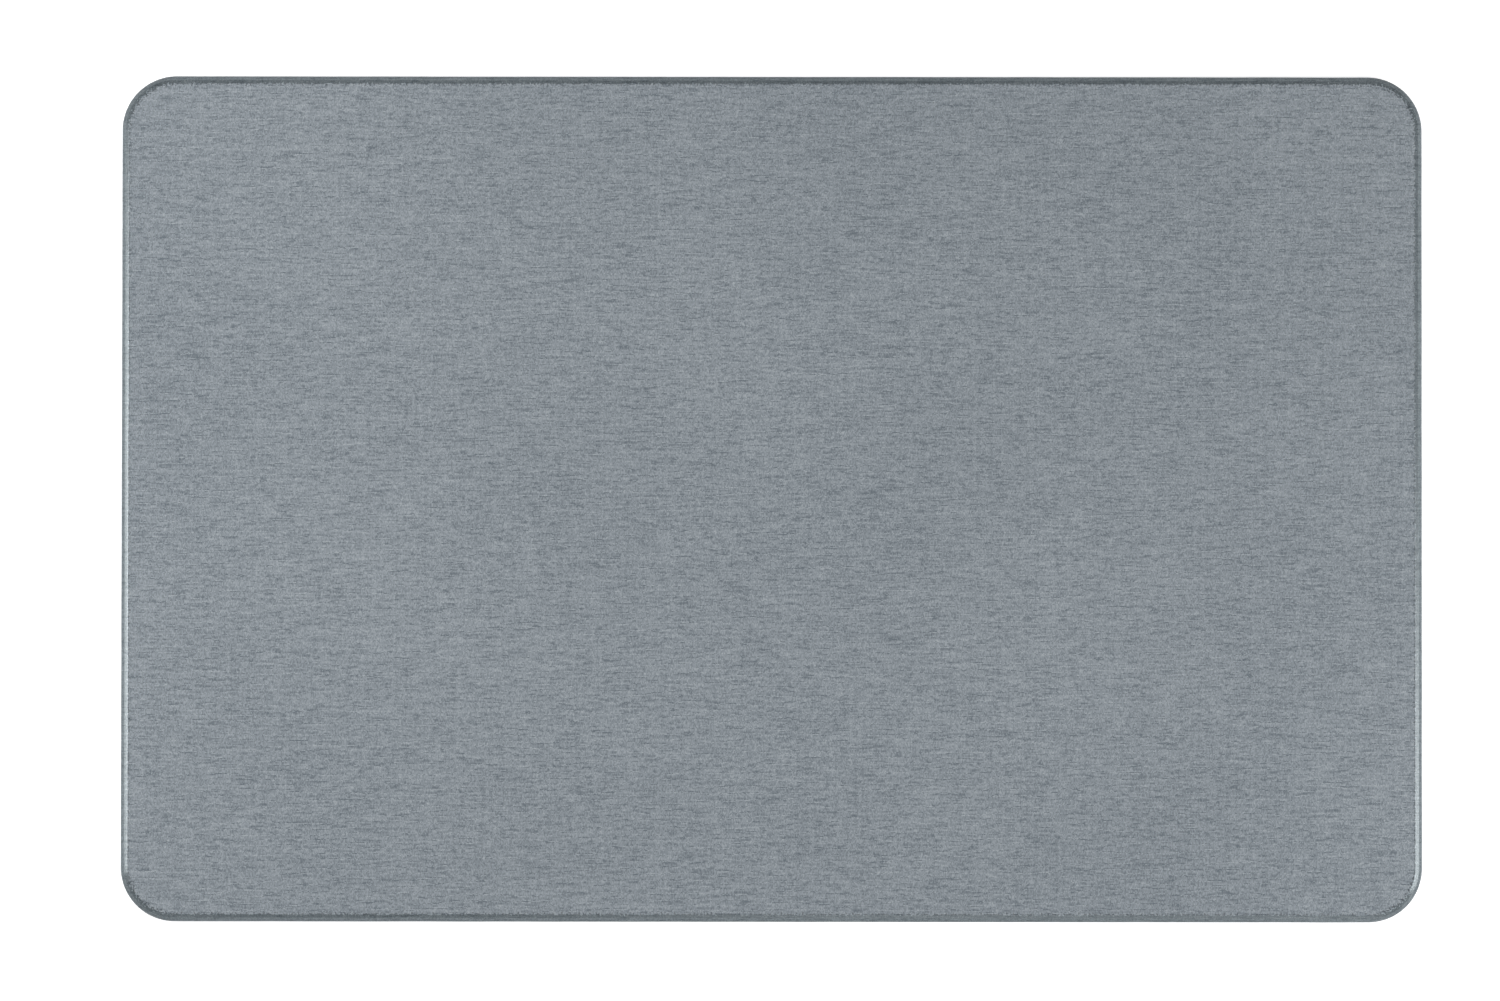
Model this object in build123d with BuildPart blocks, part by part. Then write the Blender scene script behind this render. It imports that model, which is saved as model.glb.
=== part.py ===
from build123d import *
import os

os.makedirs("parts", exist_ok=True)

# A padded desk mat with turned edges: a woven cover is wrapped over foam on a stiff
# board, its hem is taped under the board, and a rubber sheet closes the underside.
# Millimetres, +Z up, +X along the length; the origin is the middle of the underside.

# Outline of the finished mat
mat_length = 600.0
mat_width = 390.0
corner_radius = 25.0

# Layers, from the floor up
base_thickness = 0.7
film_thickness = 0.1
fabric_thickness = 0.6
board_thickness = 1.5
foam_thickness = 2.0

# Edge of the mat: a slope that rolls over into an upright side
bevel_run = 3.6
bevel_drop = 2.0
bevel_round = 2.9
turn_radius = 1.2

# Underside
hem_width = 16.0
tape_width = 10.0
tape_setback = 3.0
base_inset = 4.0
base_film_margin = 0.5

# Height of each layer's lower face
base_film_low = base_thickness
hem_low = base_film_low + film_thickness
tape_low = hem_low + fabric_thickness
board_low = tape_low + film_thickness
foam_film_low = board_low + board_thickness
foam_low = foam_film_low + film_thickness
cover_film_low = foam_low + foam_thickness
cover_low = cover_film_low + film_thickness
mat_top = cover_low + fabric_thickness

# The core's slope runs parallel to the cover's, one fabric thickness inside it.
# Its half tilt, as a tangent, is the slope's drop over its run plus its length.
bevel_length = (bevel_run**2 + bevel_drop**2) ** 0.5
half_tilt = bevel_drop / (bevel_run + bevel_length)
core_run = bevel_run - fabric_thickness * (1 - half_tilt)
core_drop = core_run * bevel_drop / bevel_run


def rounded_outline(inset):
    """Draw the mat's outline moved inwards by the inset."""
    RectangleRounded(mat_length - 2 * inset, mat_width - 2 * inset, corner_radius - inset)


def sloped_block(block, inset, low, high, run, drop):
    """Fill a builder with a block whose top slopes at the rim and whose foot is round."""
    with BuildSketch(Plane.XY.offset(low)) as footprint:
        rounded_outline(inset)
    extrude(footprint.sketch, amount=high - low)
    top_face = block.faces().sort_by(Axis.Z)[-1]
    chamfer(top_face.edges(), run, drop, reference=top_face)
    foot = high - drop
    foot_edges = block.edges().filter_by_position(Axis.Z, foot, foot)
    fillet(foot_edges, bevel_round - inset)
    fillet(block.faces().sort_by(Axis.Z)[0].edges(), turn_radius - inset)


def cut_to_layer(low, thickness):
    """Keep only the layer of the current solid that starts at the given height."""
    split(bisect_by=Plane.XY.offset(low), keep=Keep.TOP)
    split(bisect_by=Plane.XY.offset(low + thickness), keep=Keep.BOTTOM)


# Outer skin of the mat above the base sheet, and the room inside the cover.
# Neither is a piece of its own; the cover and the core layers are cut from them.
with BuildPart() as outer_form:
    sloped_block(outer_form, 0, hem_low, mat_top, bevel_run, bevel_drop)

with BuildPart() as core_form:
    sloped_block(core_form, fabric_thickness, tape_low, cover_low, core_run, core_drop)

# Woven cover: the top panel, the sloped edge and the hem turned under the board
with BuildPart() as cover_fabric:
    add(outer_form.part)
    add(core_form.part, mode=Mode.SUBTRACT)
    with BuildSketch(Plane.XY.offset(hem_low)):
        rounded_outline(hem_width)
    extrude(amount=fabric_thickness, mode=Mode.SUBTRACT)
cover_fabric.part.label = "cover_fabric"
export_step(cover_fabric.part, "parts/cover_fabric.step")

# Glue film between the cover and the foam
with BuildPart() as cover_adhesive:
    add(core_form.part)
    cut_to_layer(cover_film_low, film_thickness)
cover_adhesive.part.label = "cover_adhesive"
export_step(cover_adhesive.part, "parts/cover_adhesive.step")

# Foam padding, cut with the slope of the edge
with BuildPart() as foam_pad:
    add(core_form.part)
    cut_to_layer(foam_low, foam_thickness)
foam_pad.part.label = "foam_pad"
export_step(foam_pad.part, "parts/foam_pad.step")

# Glue film between the foam and the board
with BuildPart() as foam_adhesive:
    add(core_form.part)
    cut_to_layer(foam_film_low, film_thickness)
foam_adhesive.part.label = "foam_adhesive"
export_step(foam_adhesive.part, "parts/foam_adhesive.step")

# Stiff board that keeps the mat flat
with BuildPart() as core_board:
    add(core_form.part)
    cut_to_layer(board_low, board_thickness)
core_board.part.label = "core_board"
export_step(core_board.part, "parts/core_board.step")

# Four strips of double-sided tape hold the hem to the board, one on each straight side
tape_centre = tape_setback + tape_width / 2
long_strip = mat_length - 2 * corner_radius
short_strip = mat_width - 2 * corner_radius
tape_strips = {
    "hem_tape_front": (0, tape_centre - mat_width / 2, long_strip, tape_width),
    "hem_tape_back": (0, mat_width / 2 - tape_centre, long_strip, tape_width),
    "hem_tape_left": (tape_centre - mat_length / 2, 0, tape_width, short_strip),
    "hem_tape_right": (mat_length / 2 - tape_centre, 0, tape_width, short_strip),
}
for strip_name, (strip_x, strip_y, size_x, size_y) in tape_strips.items():
    with BuildPart() as hem_tape:
        with BuildSketch(Plane.XY.offset(tape_low)):
            with Locations((strip_x, strip_y)):
                Rectangle(size_x, size_y)
        extrude(amount=film_thickness)
    hem_tape.part.label = strip_name
    export_step(hem_tape.part, f"parts/{strip_name}.step")

# Card that fills the frame left by the hem, so that the base sheet lies flat
with BuildPart() as levelling_card:
    with BuildSketch(Plane.XY.offset(hem_low)):
        rounded_outline(hem_width)
    extrude(amount=fabric_thickness)
levelling_card.part.label = "levelling_card"
export_step(levelling_card.part, "parts/levelling_card.step")

# Glue film between the card and the board
with BuildPart() as card_adhesive:
    with BuildSketch(Plane.XY.offset(tape_low)):
        rounded_outline(hem_width)
    extrude(amount=film_thickness)
card_adhesive.part.label = "card_adhesive"
export_step(card_adhesive.part, "parts/card_adhesive.step")

# Glue film that carries the base sheet, a little smaller than the sheet
with BuildPart() as base_adhesive:
    with BuildSketch(Plane.XY.offset(base_film_low)):
        rounded_outline(base_inset + base_film_margin)
    extrude(amount=film_thickness)
base_adhesive.part.label = "base_adhesive"
export_step(base_adhesive.part, "parts/base_adhesive.step")

# Non-slip rubber sheet that rests on the desk
with BuildPart() as base_sheet:
    with BuildSketch():
        rounded_outline(base_inset)
    extrude(amount=base_thickness)
base_sheet.part.label = "base_sheet"
export_step(base_sheet.part, "parts/base_sheet.step")
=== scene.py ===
import math

import bpy
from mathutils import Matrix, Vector, noise
from mathutils.geometry import delaunay_2d_cdt


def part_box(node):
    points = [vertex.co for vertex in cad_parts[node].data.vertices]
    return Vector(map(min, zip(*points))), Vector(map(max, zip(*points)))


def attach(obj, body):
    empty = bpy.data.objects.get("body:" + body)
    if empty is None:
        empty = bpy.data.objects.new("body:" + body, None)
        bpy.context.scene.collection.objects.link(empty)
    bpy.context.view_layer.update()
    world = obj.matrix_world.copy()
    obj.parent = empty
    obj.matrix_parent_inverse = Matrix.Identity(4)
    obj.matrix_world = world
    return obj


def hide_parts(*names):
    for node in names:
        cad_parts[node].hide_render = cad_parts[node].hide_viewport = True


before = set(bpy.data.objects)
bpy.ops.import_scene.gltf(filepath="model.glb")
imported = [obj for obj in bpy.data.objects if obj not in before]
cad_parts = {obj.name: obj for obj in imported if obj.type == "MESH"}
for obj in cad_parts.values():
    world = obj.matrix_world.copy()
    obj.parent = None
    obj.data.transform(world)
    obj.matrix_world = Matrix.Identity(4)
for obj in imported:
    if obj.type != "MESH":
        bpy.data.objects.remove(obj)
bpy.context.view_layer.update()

# A padded desk mat, looked at from straight above. The cover and the base sheet are
# rebuilt as fine meshes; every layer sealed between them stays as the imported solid.

MM = 0.001

# ---------------------------------------------------------------- sizes, in metres
cover_low, cover_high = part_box("cover_fabric")
base_low, base_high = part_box("base_sheet")
HALF_X = cover_high.x
HALF_Y = cover_high.y
TOP = cover_high.z
HEM_LOW = cover_low.z

CORNER = 25.0 * MM          # the outline's corner radius
BEVEL_RUN = 3.6 * MM        # the sloped rim's width, seen from above
BEVEL_DROP = 2.0 * MM       # how far the slope falls over that width
BEVEL_ROUND = 2.9 * MM      # the roll from the slope into the upright side
BREAK_ROUND = 0.35 * MM     # the soft crease where the flat top ends
TURN_RADIUS = 1.2 * MM      # the turn from the side to the underside
FABRIC = 0.6 * MM
HEM_WIDTH = 16.0 * MM

# The cover's mesh: rings on the flat top outside the rim, rings on the hem, and the
# number of steps round each of the edge's three arcs
PANEL_RINGS = (2.4 * MM, 1.2 * MM, 0.55 * MM)
SLOPE_SHARES = (0.34, 0.67)
HEM_RINGS = (2.0 * MM, 2.8 * MM, 3.6 * MM, 6.0 * MM, 10.0 * MM, HEM_WIDTH)
BREAK_STEPS, ROUND_STEPS, TURN_STEPS = 4, 8, 7
STATION_STEP = 1.0 * MM
PANEL_MARGIN = 7.0 * MM
PANEL_GRID = 6.0 * MM
RIM_START = 0.1 * MM        # how far past the top's edge the rim's own material starts

# The small folds of cloth gathered under each corner
PLEATS = 9
PLEAT_DEPTH = 0.24 * MM
PLEAT_FADE = 0.12           # share of the corner over which the folds begin and end
PLEAT_ZONE = (4.6 * MM, 7.2 * MM)

# The cloth's unevenness: the amount, in millimetres, and the size of a slow and a fast
# change over the edge, and the depth and size of the dips in the padded top
PULL_SLOW, PULL_SLOW_SIZE = 0.055, 22 * MM
PULL_FAST, PULL_FAST_SIZE = 0.010, 2.1 * MM
SETTLE_DEPTH, SETTLE_SIZE = 0.10 * MM, 75 * MM

# The base sheet: its softened corners in section, and the studs moulded under it
BASE_SOFT = 0.18 * MM
BASE_RING = 1.0 * MM
GRIP_SPACING = 2.1 * MM
GRIP_DEPTH = 0.22 * MM
GRIP_MARGIN = 5.0 * MM
GRIP_CLEARANCE = 0.6        # share of the spacing kept free inside the plain border

INSIDE_FACES = 1            # delaunay_2d_cdt keeps only the triangles inside the outline
WELD = 1e-7


def add_object(name, data):
    """A new object that shows this data, in the scene."""
    piece = bpy.data.objects.new(name, data)
    bpy.context.scene.collection.objects.link(piece)
    return piece


def clean_mesh(name, verts, faces):
    mesh = bpy.data.meshes.new(name)
    mesh.from_pydata(verts, [], faces)
    mesh.validate()
    mesh.update()
    return mesh


# ---------------------------------------------------------------- outline
def outline_stations(half_x, half_y, radius, step):
    """Points round a rounded rectangle: (centre x, centre y, normal x, normal y, corner share).

    A point at inset d lies at centre + normal * (radius - d). The corner share runs from
    0 to 1 across a corner's arc and is None on the straight sides.
    """
    inner_x = half_x - radius
    inner_y = half_y - radius
    stations = []
    corners = [(inner_x, inner_y, 0.0), (-inner_x, inner_y, 90.0),
               (-inner_x, -inner_y, 180.0), (inner_x, -inner_y, 270.0)]
    arc_steps = max(8, round(radius * math.pi / 2 / step))
    for index, (cx, cy, start) in enumerate(corners):
        for k in range(arc_steps + 1):
            angle = math.radians(start + 90.0 * k / arc_steps)
            stations.append((cx, cy, math.cos(angle), math.sin(angle), k / arc_steps))
        nx, ny, _ = corners[(index + 1) % 4]
        side = math.hypot(nx - cx, ny - cy)
        side_steps = round(side / step)
        angle = math.radians(start + 90.0)
        for k in range(1, side_steps):
            share = k / side_steps
            stations.append((cx + (nx - cx) * share, cy + (ny - cy) * share,
                             math.cos(angle), math.sin(angle), None))
    return stations


def inset(x, y, half_x, half_y, radius):
    """How far inside a rounded rectangle a point lies, up to the corner radius."""
    past_x = max(0.0, abs(x) - (half_x - radius))
    past_y = max(0.0, abs(y) - (half_y - radius))
    return radius - math.hypot(past_x, past_y)


def smooth(low, high, value):
    """0 below low, 1 above high and a smooth rise between."""
    share = min(1.0, max(0.0, (value - low) / (high - low)))
    return share * share * (3 - 2 * share)


# ---------------------------------------------------------------- cover
def arc(centre_d, centre_z, radius, start, end, steps):
    """Profile points on an arc; the angle is the outward normal's tilt from straight up."""
    points = []
    for k in range(steps + 1):
        tilt = start + (end - start) * k / steps
        out, up = math.sin(tilt), math.cos(tilt)
        points.append((centre_d - radius * out, centre_z + radius * up, out, up))
    return points


def edge_profile():
    """The cover's outer skin in section: (inset, height, normal outwards, normal upwards)."""
    tilt = math.atan2(BEVEL_DROP, BEVEL_RUN)
    tangent = BREAK_ROUND * math.tan(tilt / 2)
    upright = math.pi / 2
    profile = [(BEVEL_RUN + gap, TOP, 0.0, 1.0) for gap in PANEL_RINGS]
    profile += arc(BEVEL_RUN + tangent, TOP - BREAK_ROUND, BREAK_ROUND, 0.0, tilt, BREAK_STEPS)
    slope_start = profile[-1][0]
    slope_end = BEVEL_ROUND * (1 - math.sin(tilt))
    for share in SLOPE_SHARES:
        d = slope_start + (slope_end - slope_start) * share
        profile.append((d, TOP - (BEVEL_RUN - d) * math.tan(tilt), math.sin(tilt), math.cos(tilt)))
    round_z = TOP - (BEVEL_RUN - slope_end) * math.tan(tilt) - BEVEL_ROUND * math.cos(tilt)
    profile += arc(BEVEL_ROUND, round_z, BEVEL_ROUND, tilt, upright, ROUND_STEPS)
    profile += arc(TURN_RADIUS, HEM_LOW + TURN_RADIUS, TURN_RADIUS, upright, math.pi, TURN_STEPS)
    profile += [(d, HEM_LOW, 0.0, -1.0) for d in HEM_RINGS]
    return profile


def pleat(share, travel):
    """How far a corner's folds sink in, at a distance round from the top's edge."""
    if share is None:
        return 0.0
    fade = smooth(0.0, PLEAT_FADE, share) * smooth(0.0, PLEAT_FADE, 1 - share)
    fold = 0.5 - 0.5 * math.cos(2 * math.pi * PLEATS * share)
    return PLEAT_DEPTH * fade * smooth(*PLEAT_ZONE, travel) * fold ** 2


def pull(x, y, z):
    """The cloth's slight unevenness where it is pulled over the edge."""
    slow = noise.noise(Vector((x, y, z)) / PULL_SLOW_SIZE)
    fast = noise.noise(Vector((x, y, z)) / PULL_FAST_SIZE)
    return (PULL_SLOW * slow + PULL_FAST * fast) * MM


def settle(x, y):
    """How far the padded top dips below its highest level."""
    return (0.5 + 0.5 * noise.noise(Vector((x, y, 3.0)) / SETTLE_SIZE)) * SETTLE_DEPTH


def panel_grid():
    """An even grid of points over the flat top, clear of its edge."""
    span_x = HALF_X - PANEL_MARGIN
    span_y = HALF_Y - PANEL_MARGIN
    steps_x = round(2 * span_x / PANEL_GRID)
    steps_y = round(2 * span_y / PANEL_GRID)
    for i in range(steps_x + 1):
        for j in range(steps_y + 1):
            x = -span_x + 2 * span_x * i / steps_x
            y = -span_y + 2 * span_y * j / steps_y
            if inset(x, y, HALF_X, HALF_Y, CORNER) > PANEL_MARGIN - WELD:
                yield Vector((x, y))


def build_cover():
    """The woven cover as one closed shell: outer skin, inner skin and the hem's cut edge."""
    stations = outline_stations(HALF_X, HALF_Y, CORNER, STATION_STEP)
    profile = edge_profile()
    count = len(stations)

    # The way from the top's edge to each ring, along the cloth
    travels = [0.0]
    for before, after in zip(profile, profile[1:]):
        travels.append(travels[-1] + math.hypot(after[0] - before[0], after[1] - before[1]))
    top_edge = travels[len(PANEL_RINGS)]
    travels = [travel - top_edge for travel in travels]

    # The flat panel inside the edge: a fine even grid joined to the first ring of the edge
    outer, inner, cloth = [], [], []
    flat_ring = profile[0][0]
    points = [Vector((cx + nx * (CORNER - flat_ring), cy + ny * (CORNER - flat_ring)))
              for cx, cy, nx, ny, _ in stations]
    points += panel_grid()
    placed, _, panel_faces, origins, _, _ = delaunay_2d_cdt(
        points, [], [list(range(count))], INSIDE_FACES, WELD)
    index_of = {source: new for new, sources in enumerate(origins) for source in sources}
    for x, y in placed:
        outer.append((x, y, TOP - settle(x, y)))
        inner.append((x, y, TOP - FABRIC))
        edge_d = min(HALF_X - abs(x), HALF_Y - abs(y))
        cloth.append((x / MM, y / MM, (BEVEL_RUN - max(edge_d, flat_ring)) / MM))
    faces = [tuple(face) for face in panel_faces]

    # The edge, ring by ring, from the flat panel round to the hem's cut edge
    previous = [index_of[k] for k in range(count)]
    for (d, z, out, up), travel in zip(profile[1:], travels[1:]):
        current = []
        calm = smooth(-1.0 * MM, 0.5 * MM, travel) * (1 - smooth(8.0 * MM, 9.0 * MM, travel))
        padded = 1 - smooth(-1.0 * MM, 1.0 * MM, travel)
        reach = CORNER - BEVEL_RUN + travel
        for cx, cy, nx, ny, share in stations:
            x = cx + nx * (CORNER - d)
            y = cy + ny * (CORNER - d)
            lift = calm * pull(x, y, z) - pleat(share, travel) - padded * settle(x, y)
            current.append(len(outer))
            outer.append((x + nx * out * lift, y + ny * out * lift, z + up * lift))
            inner.append((x - nx * out * FABRIC, y - ny * out * FABRIC, z - up * FABRIC))
            cloth.append(((cx + nx * reach) / MM, (cy + ny * reach) / MM, travel / MM))
        for k in range(count):
            after = (k + 1) % count
            faces.append((previous[k], current[k], current[after], previous[after]))
        if travel < RIM_START:
            panel_end = len(faces)
        previous = current

    # The inner skin mirrors the outer one, and the cut edge closes the gap between them
    size = len(outer)
    inner_faces = [tuple(size + v for v in reversed(face)) for face in faces]
    cut_edge = []
    for k in range(count):
        after = (k + 1) % count
        cut_edge.append((previous[k], size + previous[k], size + previous[after], previous[after]))

    mesh = clean_mesh("mat_cover", outer + inner, faces + inner_faces + cut_edge)
    mesh.shade_smooth()
    for face in mesh.polygons[panel_end:]:
        face.material_index = 1
    coordinates = mesh.attributes.new("cloth", "FLOAT_VECTOR", "POINT")
    flat = [number for point in cloth + cloth for number in point]
    coordinates.data.foreach_set("vector", flat)
    flat_size = (2 * (HALF_X - BEVEL_RUN + travels[-1]), 2 * (HALF_Y - BEVEL_RUN + travels[-1]))
    return add_object("mat_cover", mesh), flat_size


# ---------------------------------------------------------------- base sheet
def build_base():
    """The rubber sheet, with low six-sided studs moulded on the face it stands on."""
    half_x, half_y, top, low = base_high.x, base_high.y, base_high.z, base_low.z
    radius = CORNER - (HALF_X - half_x)
    stations = outline_stations(half_x, half_y, radius, GRIP_SPACING)
    count = len(stations)
    section = [(BASE_RING, top), (BASE_SOFT, top), (0.0, top - BASE_SOFT),
               (0.0, low + BASE_SOFT), (BASE_SOFT, low), (GRIP_MARGIN, low)]
    verts, faces = [], []
    for d, z in section:
        for cx, cy, nx, ny, _ in stations:
            verts.append((cx + nx * (radius - d), cy + ny * (radius - d), z))
    for ring in range(len(section) - 1):
        for k in range(count):
            after = (k + 1) % count
            a, b = ring * count, (ring + 1) * count
            faces.append((a + k, b + k, b + after, a + after))
    faces.append(tuple(range(count)))

    # A triangular lattice in which one point in three is a stud's tip
    last = (len(section) - 1) * count
    points = [Vector(verts[last + k][:2]) for k in range(count)]
    row_step = GRIP_SPACING * math.sqrt(3) / 2
    columns = int(half_x / GRIP_SPACING)
    rows = int(half_y / row_step)
    border = GRIP_MARGIN + GRIP_CLEARANCE * GRIP_SPACING
    heights = {}
    for j in range(-rows, rows + 1):
        for i in range(-columns, columns + 1):
            x = (i + (j % 2) / 2) * GRIP_SPACING
            y = j * row_step
            if inset(x, y, half_x, half_y, radius) < border:
                continue
            tip = (i - j // 2 - j) % 3 == 0
            heights[len(points)] = low + (0.0 if tip else GRIP_DEPTH)
            points.append(Vector((x, y)))
    placed, _, grip_faces, origins, _, _ = delaunay_2d_cdt(
        points, [], [list(range(count))], INSIDE_FACES, WELD)
    index_of = {}
    for new, sources in enumerate(origins):
        source = sources[0]
        if source < count:
            index_of[new] = last + source
        else:
            index_of[new] = len(verts)
            verts.append((placed[new][0], placed[new][1], heights[source]))
    for face in grip_faces:
        faces.append(tuple(index_of[v] for v in reversed(face)))
    return add_object("mat_base", clean_mesh("mat_base", verts, faces))


# ---------------------------------------------------------------- materials
class Shader:
    """A short way to write a material's node tree."""

    def __init__(self, name):
        self.material = bpy.data.materials.new(name)
        self.material.use_nodes = True
        self.tree = self.material.node_tree
        self.surface = self.tree.nodes["Principled BSDF"]

    def put(self, socket, value):
        """Link a socket to the value's node, or set it to a plain number or colour."""
        if isinstance(value, bpy.types.NodeSocket):
            self.tree.links.new(value, socket)
        else:
            socket.default_value = value

    def math(self, operation, *values):
        node = self.tree.nodes.new("ShaderNodeMath")
        node.operation = operation
        for socket, value in zip(node.inputs, values):
            self.put(socket, value)
        return node.outputs[0]

    def total(self, first, *others):
        """The sum of any number of values."""
        for value in others:
            first = self.math("ADD", first, value)
        return first

    def vector(self, x, y, z=0.0):
        node = self.tree.nodes.new("ShaderNodeCombineXYZ")
        for socket, value in zip(node.inputs, (x, y, z)):
            self.put(socket, value)
        return node.outputs[0]

    def split(self, vector):
        node = self.tree.nodes.new("ShaderNodeSeparateXYZ")
        self.put(node.inputs[0], vector)
        return node.outputs[0], node.outputs[1], node.outputs[2]

    def noise(self, vector, scale=1.0, detail=0.0, dimensions="3D"):
        node = self.tree.nodes.new("ShaderNodeTexNoise")
        node.noise_dimensions = dimensions
        self.put(node.inputs["Vector"], vector)
        self.put(node.inputs["Scale"], scale)
        self.put(node.inputs["Detail"], detail)
        return node.outputs[0]

    def wobble(self, x, y, amount):
        """Noise over a plane, centred on zero, times an amount."""
        value = self.noise(self.vector(x, y), dimensions="2D")
        return self.math("MULTIPLY", self.math("SUBTRACT", value, 0.5), amount)

    def patches(self, x, y, length, width, amount):
        """A wobble in patches of about this length and width."""
        return self.wobble(self.math("DIVIDE", x, length), self.math("DIVIDE", y, width), amount)

    def wave(self, value, pitch, amount):
        angle = self.math("MULTIPLY", value, 2 * math.pi / pitch)
        return self.math("MULTIPLY", self.math("SINE", angle), amount)

    def specks(self, x, y, spacing, radius, share):
        """1 inside small dots strewn over the plane, and 0 elsewhere."""
        node = self.tree.nodes.new("ShaderNodeTexVoronoi")
        node.voronoi_dimensions = "2D"
        place = self.vector(self.math("DIVIDE", x, spacing), self.math("DIVIDE", y, spacing))
        self.put(node.inputs["Vector"], place)
        self.put(node.inputs["Scale"], 1.0)
        dot = self.math("LESS_THAN", node.outputs["Distance"], radius / spacing)
        lot, _, _ = self.split(node.outputs["Color"])
        return self.math("MULTIPLY", dot, self.math("LESS_THAN", lot, share))

    def step(self, value, low, high, start=0.0, end=1.0):
        """A smooth change from start to end as the value goes from low to high."""
        node = self.tree.nodes.new("ShaderNodeMapRange")
        node.interpolation_type = "SMOOTHSTEP"
        for socket, number in zip(node.inputs[:5], (value, low, high, start, end)):
            self.put(socket, number)
        return node.outputs[0]

    def ramp(self, value, stops):
        node = self.tree.nodes.new("ShaderNodeValToRGB")
        elements = node.color_ramp.elements
        while len(elements) < len(stops):
            elements.new(0.5)
        for element, (place, colour) in zip(elements, stops):
            element.position = place
            element.color = (*colour, 1.0)
        self.put(node.inputs[0], value)
        return node.outputs[0]

    def tint(self, colour, amount):
        """A colour or vector times a number."""
        node = self.tree.nodes.new("ShaderNodeVectorMath")
        node.operation = "SCALE"
        self.put(node.inputs[0], colour)
        self.put(node.inputs["Scale"], amount)
        return node.outputs[0]

    def multiply(self, colour, other):
        """A colour times another, channel by channel."""
        node = self.tree.nodes.new("ShaderNodeVectorMath")
        node.operation = "MULTIPLY"
        self.put(node.inputs[0], colour)
        self.put(node.inputs[1], other)
        return node.outputs[0]

    def bump(self, height, distance, strength):
        node = self.tree.nodes.new("ShaderNodeBump")
        node.inputs["Strength"].default_value = strength
        node.inputs["Distance"].default_value = distance
        self.put(node.inputs["Height"], height)
        return node.outputs[0]

    def object_mm(self):
        """The piece's own coordinates, in millimetres."""
        node = self.tree.nodes.new("ShaderNodeTexCoord")
        return self.tint(node.outputs["Object"], 1 / MM)


# The weave. Lengths are in millimetres, and amounts are shares of the tone ramp.
CLOTH_TONE = (131.5, 138.6, 144.5)      # the cloth's middle tone, in display levels
TONE_SHARE = (1.03, 1.0, 0.97)          # how much of a change of level each channel takes
TONE_STOPS = ((0.00, -34), (0.25, -17), (0.50, 0), (0.75, 14), (1.00, 28))
WEFT_PITCH = 0.56
WARP_PITCH = 0.50
YARN_WANDER = (48.0, 30.0, 1.6)         # length, width and how far the yarns stray
YARN_SEED_STEP = 7.0                    # keeps each yarn's tone apart from the next one's
YARN_TONES = ((12.0, 0.0, 0.26), (5.0, 1031.0, 0.25), (0.50, 2077.0, 0.84))  # length, seed, amount
FLECK = (4.2, 3011.0, 1.0)              # length, seed and amount of the darker lengths
FLECK_STEP = (-0.235, -0.15, 0.25, 0.0)
WARP_SEED_STEP = 5.77
WARP_LENGTH, WARP_TONE = 26.0, 0.09
REED_LINES = ((4.4, 0.011), (3.3, 0.009))       # pitch and amount of the faint upright lines
CLOUD = (16.0, 5.0, 0.08)               # length, width and amount
DRIFT = (130.0, 130.0, 0.12)
LINT = (20.0, 0.42, 0.15)               # spacing, radius and share of cells with a speck
LINT_TONE = 0.45
GAP_SHADE_MIDDLE, GAP_SHADE_AMOUNT = 0.64, 0.20         # painted shade: a yarn is darker towards the gaps beside it and lighter along its middle
RELIEF = 0.10 * MM

# The rim, where the yarns are pressed flat and lie darker, and where painted shade darkens the
# slope that turns away from the lights; distances from the top's edge
EDGE_PRESS_AND_SHADE, EDGE_STEP = 0.46, (-0.28, 0.12)
EDGE_LIFT, LIFT_STEP = 0.13, (1.1, 2.1)         # the slope's outer half gets less of the pressed tone and painted shade
FRAY = (1.0, 1.0, 2.8)                  # the ragged start of the rim
CORNER_ZONE = (24, 13)                  # the corners, from the top's edge inwards
CORNER_FRAY, CORNER_FOLD_SHADE = 1.1, 0.22    # the rim is more ragged there, and darker with painted shade among the gathered folds
ROLL_STEP, ROLL_ROUGHNESS = (1.9, 2.6), 0.80
SPECULAR_TINT = (0.88, 0.97, 1.0, 1.0)


def yarn_tone(level):
    """The cloth's colour made lighter or darker by some display levels, as linear light."""
    return tuple(((value + level * share) / 255 + 0.055) ** 2.4 / 1.055 ** 2.4
                 for value, share in zip(CLOTH_TONE, TONE_SHARE))


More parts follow.
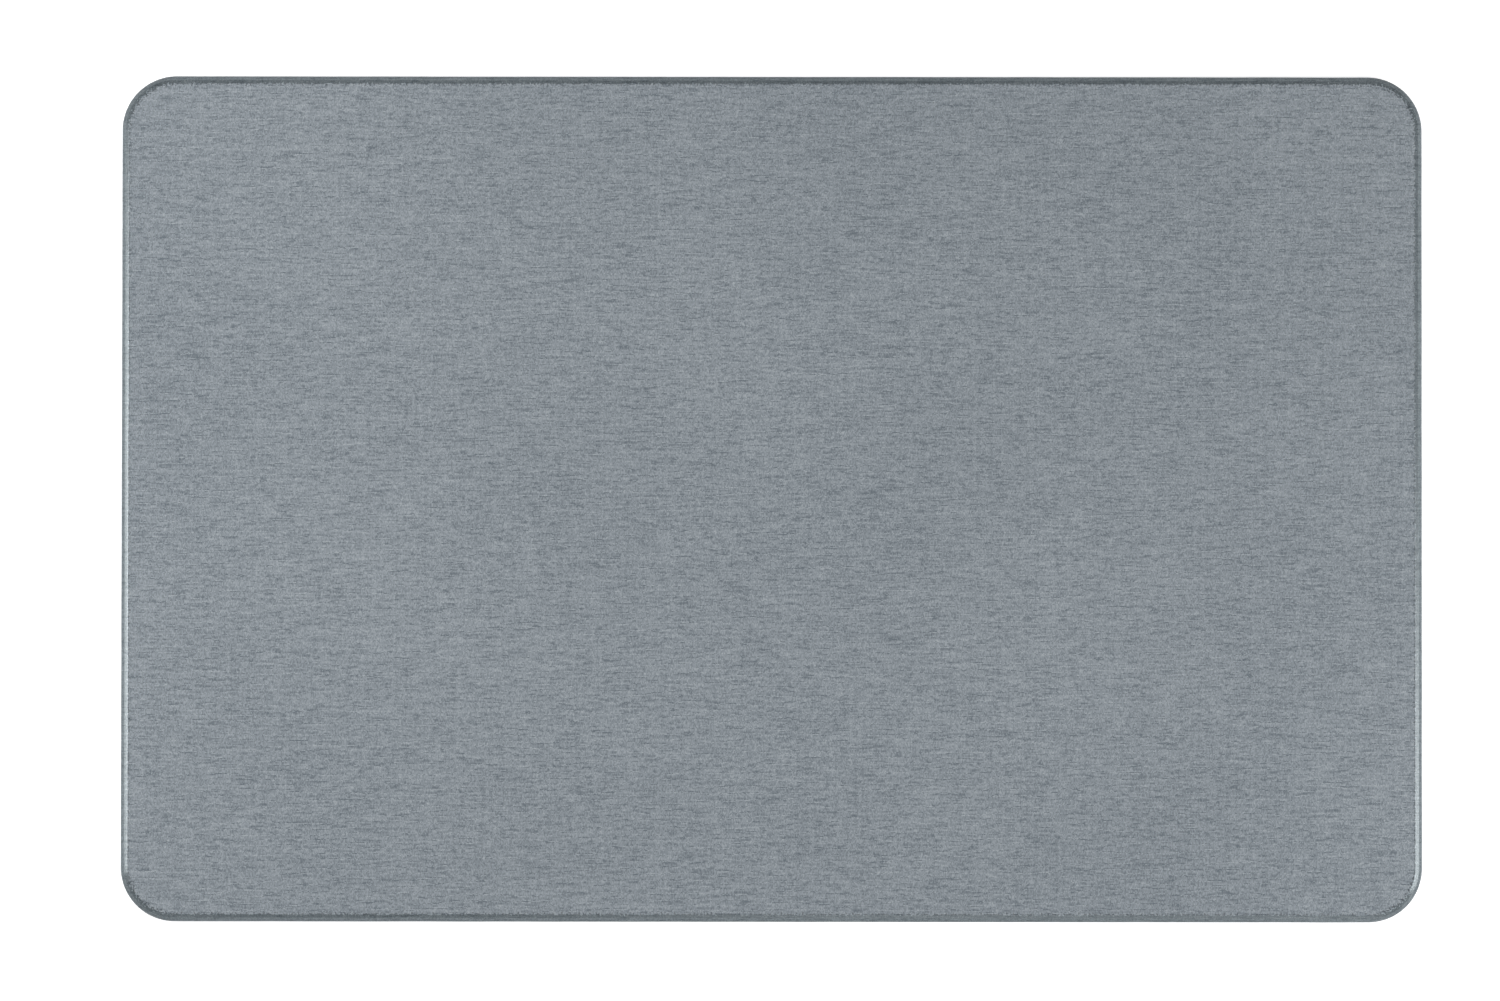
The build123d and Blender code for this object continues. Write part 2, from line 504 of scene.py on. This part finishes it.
def woven_material(name, roughness, specular, sheen, edge_tint, relief_strength):
    """Heathered plain weave: uneven two-tone weft yarns over a thin, barely seen warp."""
    s = Shader(name)
    attribute = s.tree.nodes.new("ShaderNodeAttribute")
    attribute.attribute_name = "cloth"
    u, v, travel = s.split(attribute.outputs["Vector"])

    # The weft yarns run along u and wander a little across it
    wander = s.patches(u, v, *YARN_WANDER)
    across = s.math("DIVIDE", s.math("ADD", v, wander), WEFT_PITCH)
    row = s.math("FLOOR", across)
    in_row = s.math("FRACT", across)
    row_seed = s.math("ADD", s.math("MULTIPLY", row, YARN_SEED_STEP), 0.5)

    def along(length, seed, amount):
        """Change of tone along each yarn, unlike that of its neighbours."""
        return s.wobble(s.math("DIVIDE", u, length), s.math("ADD", row_seed, seed), amount)

    melange = s.total(*[along(*change) for change in YARN_TONES])

    # Now and then a darker length of yarn
    fleck = s.step(along(*FLECK), *FLECK_STEP)

    # The warp and the reed show as very faint upright lines
    column = s.math("FLOOR", s.math("DIVIDE", u, WARP_PITCH))
    warp = s.wobble(s.math("MULTIPLY", column, WARP_SEED_STEP),
                    s.math("DIVIDE", v, WARP_LENGTH), WARP_TONE)
    reeds = [s.wave(u, pitch, amount) for pitch, amount in REED_LINES]

    # Slow drift of tone over the cloth
    cloud = s.patches(u, v, *CLOUD)
    drift = s.patches(u, v, *DRIFT)

    # A few pale specks of lint
    lint = s.math("MULTIPLY", s.specks(u, v, *LINT), LINT_TONE)

    gap = s.math("SINE", s.math("MULTIPLY", in_row, math.pi))
    # Painted shade in the gaps between rows: each yarn's colour is lighter along its middle
    gap_shade = s.math("MULTIPLY", s.math("SUBTRACT", gap, GAP_SHADE_MIDDLE), GAP_SHADE_AMOUNT)
    plain = s.math("SUBTRACT", s.math("ADD", melange, 0.5), fleck)
    tone = s.total(plain, warp, *reeds, cloud, drift, lint, gap_shade)
    colour = s.ramp(tone, [(place, yarn_tone(level)) for place, level in TONE_STOPS])

    # Over the edge the yarns are pressed flat and lie darker, and painted shade darkens the rim as
    # well, with a ragged start at the break
    far, near = CORNER_ZONE
    sides = []
    for place, half in ((u, HALF_X), (v, HALF_Y)):
        end = (half - BEVEL_RUN) / MM
        sides.append(s.step(s.math("ABSOLUTE", place), end - far, end - near))
    gathered = s.math("MULTIPLY", *sides)
    fray = s.patches(u, v, *FRAY)
    fray = s.math("MULTIPLY", fray, s.math("ADD", 1.0, s.math("MULTIPLY", gathered, CORNER_FRAY)))
    # Painted shade plus the pressed yarns' darker tone, from the break outwards
    edge = s.step(s.math("ADD", travel, fray), *EDGE_STEP, 0.0, EDGE_PRESS_AND_SHADE)
    half_fray = s.math("MULTIPLY", fray, 0.5)
    outer_half = s.step(s.math("ADD", travel, half_fray), *LIFT_STEP, 0.0, EDGE_LIFT)
    # Painted shade among the folds gathered at each corner
    corner_shade = s.math("MULTIPLY", s.math("MULTIPLY", edge, gathered), CORNER_FOLD_SHADE)
    shade = s.math("ADD", s.math("SUBTRACT", 1.0, edge), outer_half)
    shade = s.math("SUBTRACT", shade, corner_shade)
    colour = s.multiply(s.tint(colour, shade), edge_tint)

    # Yarns rise and dip in turn as they pass over and under the warp
    turn = s.math("ADD", s.math("DIVIDE", u, WARP_PITCH), row)
    float_up = s.math("COSINE", s.math("MULTIPLY", turn, math.pi))
    relief = s.math("MULTIPLY", gap, s.math("ADD", 0.7, s.math("MULTIPLY", float_up, 0.3)))
    relief = s.math("ADD", relief, s.math("MULTIPLY", melange, 0.35))

    # The roll into the side is duller than the slope, and each yarn differs a little in gloss
    gloss = s.step(travel, *ROLL_STEP, roughness, ROLL_ROUGHNESS)
    gloss = s.math("SUBTRACT", gloss, s.math("MULTIPLY", melange, 0.08))

    s.put(s.surface.inputs["Base Color"], colour)
    s.put(s.surface.inputs["Normal"], s.bump(relief, RELIEF, relief_strength))
    s.put(s.surface.inputs["Roughness"], gloss)
    s.surface.inputs["Specular IOR Level"].default_value = specular
    s.surface.inputs["Specular Tint"].default_value = SPECULAR_TINT
    s.surface.inputs["Sheen Weight"].default_value = sheen
    s.surface.inputs["Sheen Roughness"].default_value = 0.45
    return s.material


def rubber_material():
    """Dark natural rubber with a dusty bloom and a fine moulded grain."""
    s = Shader("grip_rubber")
    place = s.object_mm()
    bloom = s.noise(place, 0.05, 3.0)
    grain = s.noise(place, 3.0, 2.0)
    mixed = s.math("ADD", s.math("MULTIPLY", bloom, 0.7), s.math("MULTIPLY", grain, 0.3))
    colour = s.ramp(mixed, [(0.25, (0.022, 0.023, 0.025)), (0.75, (0.046, 0.048, 0.051))])
    s.put(s.surface.inputs["Base Color"], colour)
    s.put(s.surface.inputs["Roughness"], s.step(bloom, 0.3, 0.7, 0.62, 0.80))
    s.put(s.surface.inputs["Normal"], s.bump(grain, 0.05 * MM, 0.6))
    return s.material


def filler_material(name, dark, light, scale, roughness, stretch=(1.0, 1.0, 1.0)):
    """A plain sheet material with its own grain: foam, board, card, tape or glue film."""
    s = Shader(name)
    place = s.vector(*[s.math("MULTIPLY", value, factor)
                       for value, factor in zip(s.split(s.object_mm()), stretch)])
    grain = s.noise(place, scale, 4.0)
    s.put(s.surface.inputs["Base Color"], s.ramp(grain, [(0.3, dark), (0.7, light)]))
    s.put(s.surface.inputs["Roughness"], s.step(grain, 0.3, 0.7, roughness, roughness - 0.1))
    s.put(s.surface.inputs["Normal"], s.bump(grain, 0.05 * MM, 0.5))
    return s.material


# ---------------------------------------------------------------- pieces
# The flat top and the pressed rim: roughness, specular, sheen, tint and relief
cover, cover_flat = build_cover()
cover.data.materials.append(
    woven_material("heathered_weave", 0.80, 0.40, 0.08, (1.0, 1.0, 1.0), 0.55))
cover.data.materials.append(
    woven_material("pressed_edge_weave", 0.25, 0.8, 0.0, (0.955, 1.0, 0.995), 0.06))
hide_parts("cover_fabric")
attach(cover, "root")

base = build_base()
base.data.materials.append(rubber_material())
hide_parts("base_sheet")
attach(base, "root")

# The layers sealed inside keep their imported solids, each in its own material
fillers = {
    "foam_pad": filler_material(
        "closed_cell_foam", (0.045, 0.045, 0.050), (0.075, 0.075, 0.080), 2.2, 0.85),
    "core_board": filler_material(
        "fibreboard", (0.27, 0.23, 0.19), (0.38, 0.34, 0.28), 0.9, 0.85, (0.3, 1.0, 1.0)),
    "levelling_card": filler_material(
        "grey_card", (0.40, 0.38, 0.34), (0.50, 0.48, 0.44), 1.4, 0.85),
}
glue = filler_material("glue_film", (0.66, 0.64, 0.56), (0.76, 0.74, 0.66), 0.4, 0.45)
tape = filler_material(
    "tape_film", (0.70, 0.69, 0.63), (0.79, 0.78, 0.72), 0.6, 0.50, (1.0, 0.4, 1.0))
for node_name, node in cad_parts.items():
    if node_name in ("cover_fabric", "base_sheet"):
        continue
    film = tape if node_name.startswith("hem_tape") else glue
    for material_slot in node.material_slots:
        material_slot.material = fillers.get(node_name, film)

# ---------------------------------------------------------------- floor, light, camera
WHITE = (1.0, 1.0, 1.0, 1.0)
FLOOR_HALF = 4.0
FLOOR_DROP = 0.05 * MM      # keeps the floor's face clear of the base sheet's
FLOOR_GLOW = 0.48
ROOM_LIGHT = 0.20
BACKDROP_LIGHT = 0.68
CAMERA_LENS = 104.16
CAMERA_PLACE = (-0.0100, -0.0217, 2.005)
CAMERA_TILT = (0.6, 0.0, 0.06)      # degrees from looking straight down

# name, place, target, size and watts of each softbox
LIGHTS = (
    ("overhead", (0.0, 0.0, 3.2), (0.0, 0.0, 0.0), (3.0, 3.0), 27.7),
    ("fill_box", (-0.55, 0.26, 0.75), (-0.28, 0.10, 0.0), (0.40, 0.40), 2.7),
    ("left_box", (-1.26, -0.05, 0.60), (-0.3, -0.10, 0.0), (0.50, 0.30), 5.6),
    ("right_box", (1.20, -0.35, 0.68), (0.3, -0.15, 0.0), (0.60, 0.90), 11.7),
    ("front_box", (0.40, -1.15, 0.68), (0.25, -0.19, 0.0), (1.00, 0.50), 1.8),
)

floor_mesh = bpy.data.meshes.new("floor")
floor_corners = [(FLOOR_HALF * x, FLOOR_HALF * y, 0)
                 for x, y in ((-1, -1), (1, -1), (1, 1), (-1, 1))]
floor_mesh.from_pydata(floor_corners, [], [(0, 1, 2, 3)])
floor = add_object("floor", floor_mesh)
floor.location.z = -FLOOR_DROP
pale = Shader("pale_floor")
paper_grain = pale.noise(pale.object_mm(), 0.02, 2.0)
pale.put(pale.surface.inputs["Base Color"], pale.ramp(paper_grain, [
    (0.3, (0.885, 0.885, 0.885)),
    (0.7, (0.900, 0.900, 0.900)),
]))
pale.surface.inputs["Roughness"].default_value = 0.9
pale.surface.inputs["Emission Color"].default_value = WHITE
pale.surface.inputs["Emission Strength"].default_value = FLOOR_GLOW
pale.surface.inputs["Specular IOR Level"].default_value = 0.2
floor.data.materials.append(pale.material)


def softbox(name, place, target, size, watts):
    """A rectangular studio light at a place, turned to face a target."""
    light = bpy.data.lights.new(name, "AREA")
    light.shape = "RECTANGLE"
    light.size, light.size_y = size
    light.energy = watts
    lamp = add_object(name, light)
    lamp.location = place
    lamp.rotation_euler = (Vector(target) - Vector(place)).to_track_quat("-Z", "Y").to_euler()


for light_facts in LIGHTS:
    softbox(*light_facts)

# The room's even light; the backdrop itself is seen as pale as the far end of the floor
world = bpy.data.worlds.new("studio")
bpy.context.scene.world = world
world.use_nodes = True
world_nodes = world.node_tree.nodes
world_links = world.node_tree.links
room = world_nodes["Background"]
room.inputs["Color"].default_value = WHITE
room.inputs["Strength"].default_value = ROOM_LIGHT
backdrop = world_nodes.new("ShaderNodeBackground")
backdrop.inputs["Color"].default_value = WHITE
backdrop.inputs["Strength"].default_value = BACKDROP_LIGHT
choice = world_nodes.new("ShaderNodeMixShader")
world_links.new(world_nodes.new("ShaderNodeLightPath").outputs["Is Camera Ray"], choice.inputs[0])
world_links.new(room.outputs[0], choice.inputs[1])
world_links.new(backdrop.outputs[0], choice.inputs[2])
world_links.new(choice.outputs[0], world_nodes["World Output"].inputs["Surface"])

camera_data = bpy.data.cameras.new("camera")
camera_data.lens = CAMERA_LENS
camera_data.clip_end = 50.0
camera = add_object("camera", camera_data)
camera.location = CAMERA_PLACE
camera.rotation_euler = [math.radians(angle) for angle in CAMERA_TILT]
bpy.context.scene.camera = camera

bpy.context.scene.view_settings.view_transform = "Standard"
bpy.context.scene.view_settings.look = "None"
